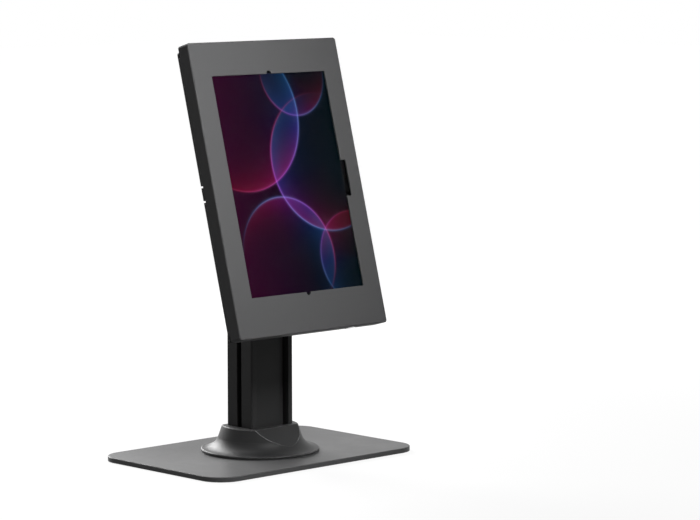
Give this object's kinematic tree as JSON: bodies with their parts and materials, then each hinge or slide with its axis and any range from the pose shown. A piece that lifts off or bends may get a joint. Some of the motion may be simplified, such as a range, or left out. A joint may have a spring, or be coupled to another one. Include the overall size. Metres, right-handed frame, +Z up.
{
  "type": "tablet display stand",
  "caption": "Desktop stand with a flat base, upright column and a tilting, turning, lockable housing that holds a tablet behind a window.",
  "frame": {"origin": "on the table, below the middle of the base plate", "axes": "+Z up along the column, the display faces -Y, +X to the right seen from the front"},
  "size_m": [0.28, 0.19, 0.4315],
  "materials": {
    "base_coat": "satin powder coat",
    "collar_coat": "satin gloss",
    "column_black": "black anodised",
    "strip_black": "matt",
    "rubber_black": "matt",
    "dark_steel": "black oxide",
    "nylon_black": "matt",
    "bracket_coat": "satin powder coat",
    "housing_coat": "fine textured powder coat",
    "foam_grey": "closed-cell foam",
    "tablet_metal": "fine blasted",
    "display": "lit display",
    "tablet_glass": "clear, polished",
    "lock_metal": "satin nickel"
  },
  "bodies": {
    "stand": {"base_plate": "base_coat", "base_feet": "rubber_black", "base_screws": "dark_steel", "collar": "collar_coat", "column": "column_black", "front_strip": "strip_black", "rear_strip": "strip_black", "column_cap": "bracket_coat", "cap_screws": "dark_steel", "tilt_bolt": "dark_steel", "tilt_nut": "dark_steel", "tilt_washers": "nylon_black"},
    "head": {"tilt_bracket": "bracket_coat", "bracket_ears": "bracket_coat", "swivel_hub": "bracket_coat", "hub_screws": "dark_steel", "friction_washer": "nylon_black", "retaining_ring": "housing_coat", "ring_screws": "dark_steel"},
    "cradle": {"back_tray": "housing_coat", "swivel_plate": "bracket_coat", "plate_screws": "dark_steel", "inner_frame": "housing_coat", "upper_rail": "housing_coat", "lower_rail": "housing_coat", "foam_pads": "foam_grey", "strike_plate": "housing_coat", "tray_hinge_arms": "housing_coat", "hinge_pins": "dark_steel", "tablet_shell": "tablet_metal", "tablet_display": "display", "tablet_glass": "tablet_glass"},
    "cover": {"front_cover": "housing_coat", "cover_hinge_leaves": "housing_coat", "lock_barrel": "lock_metal", "lock_nut": "lock_metal"},
    "lock": {"lock_plug": "lock_metal", "lock_cam": "lock_metal", "cam_screw": "dark_steel"}
  },
  "joints": [
    {"name": "tilt", "type": "hinge", "parent": "stand", "child": "head", "pos_m": [0, 0, 0.249], "axis": [-1, 0, 0], "range_deg": [-15, 60]},
    {"name": "turn", "type": "hinge", "parent": "head", "child": "cradle", "pos_m": [0, -0.02872, 0.28092], "axis": [0, -0.9659, 0.2588], "range_deg": [0, 90]},
    {"name": "cover_swing", "type": "hinge", "parent": "cradle", "child": "cover", "pos_m": [0, 0.00512, 0.42497], "axis": [-1, 0, 0], "range_deg": [0, 90]},
    {"name": "lock_turn", "type": "hinge", "parent": "cover", "child": "lock", "pos_m": [0.055, -0.07696, 0.137], "axis": [0, -0.2588, -0.9659], "range_deg": [0, 90]}
  ]
}
